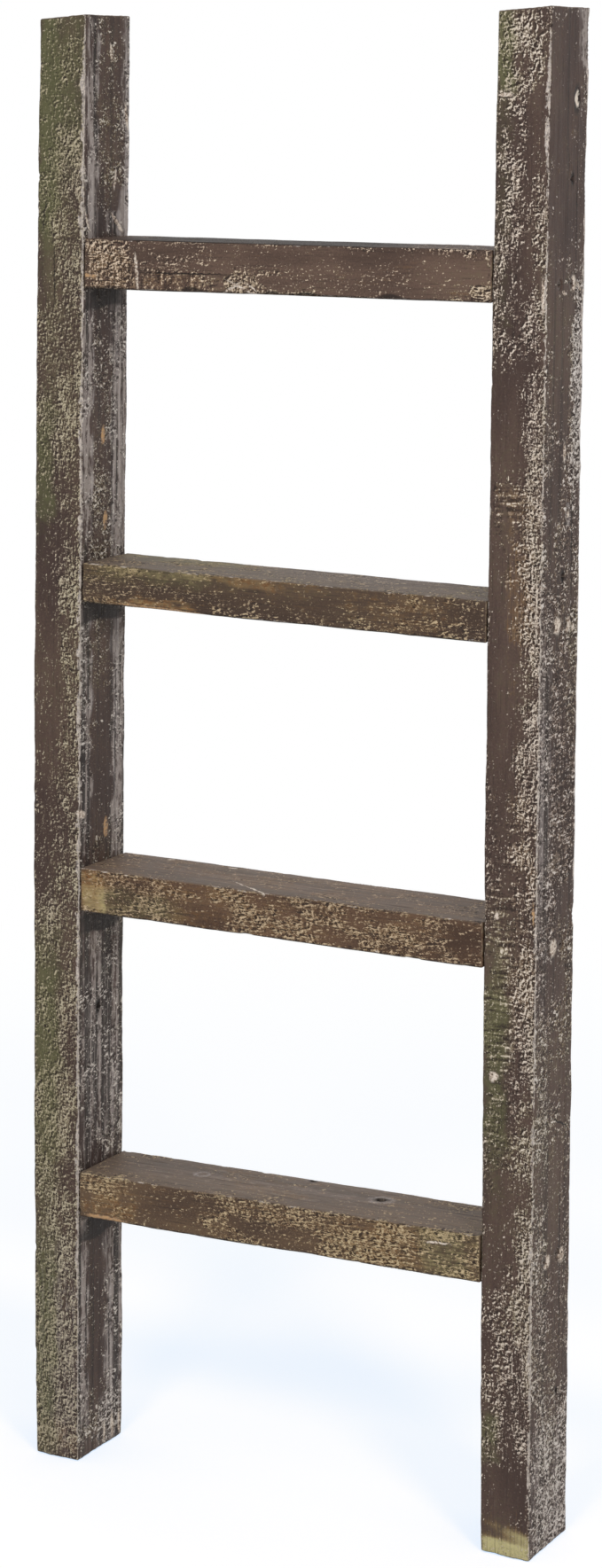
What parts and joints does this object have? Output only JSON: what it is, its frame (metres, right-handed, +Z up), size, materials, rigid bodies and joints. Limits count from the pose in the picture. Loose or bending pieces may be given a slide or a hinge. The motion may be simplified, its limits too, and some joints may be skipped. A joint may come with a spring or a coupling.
{
  "type": "blanket_ladder",
  "caption": "Leaning blanket ladder of reclaimed rough-sawn timber with flaking dark paint",
  "frame": {"origin": "on the floor, midway between the two stiles and midway between their faces", "axes": "+Z up along the stiles, +X to the right along the rungs, front face towards -Y"},
  "size_m": [0.4669, 0.073, 1.227],
  "materials": {
    "painted_wood": "worn, flaking dark-brown paint over rough-sawn weathered softwood",
    "screw_steel": "darkened, lightly rusted countersunk wood screws"
  },
  "bodies": {
    "root": {"left_stile": "painted_wood", "right_stile": "painted_wood", "top_rung": "painted_wood", "upper_rung": "painted_wood", "lower_rung": "painted_wood", "bottom_rung": "painted_wood", "top_rung_left_screws": "screw_steel", "top_rung_right_screws": "screw_steel", "upper_rung_left_screws": "screw_steel", "upper_rung_right_screws": "screw_steel", "lower_rung_left_screws": "screw_steel", "lower_rung_right_screws": "screw_steel", "bottom_rung_left_screws": "screw_steel", "bottom_rung_right_screws": "screw_steel"}
  },
  "joints": []
}
